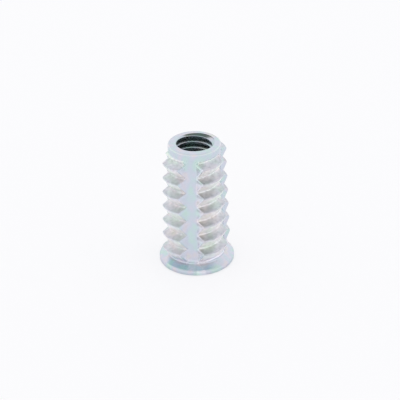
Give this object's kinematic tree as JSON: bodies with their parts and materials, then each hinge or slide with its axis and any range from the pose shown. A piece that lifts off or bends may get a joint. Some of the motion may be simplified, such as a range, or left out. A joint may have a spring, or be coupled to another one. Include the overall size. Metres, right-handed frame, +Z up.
{
  "type": "threaded insert",
  "caption": "Cast metal threaded insert for wood: coarse outer thread with smooth parting strips, tapped bore, flange with a hexagon socket.",
  "frame": {"origin": "centre of the flange's underside, on the axis", "axes": "+Z up the axis from the flange to the entering end; the first parting strip faces -Y; +X is to the right of it"},
  "size_m": [0.0144, 0.0144, 0.025],
  "materials": {
    "plated_zinc": "bright zinc plating with faint rainbow tints on die-cast zinc alloy"
  },
  "bodies": {
    "root": {"insert": "plated_zinc"}
  },
  "joints": []
}
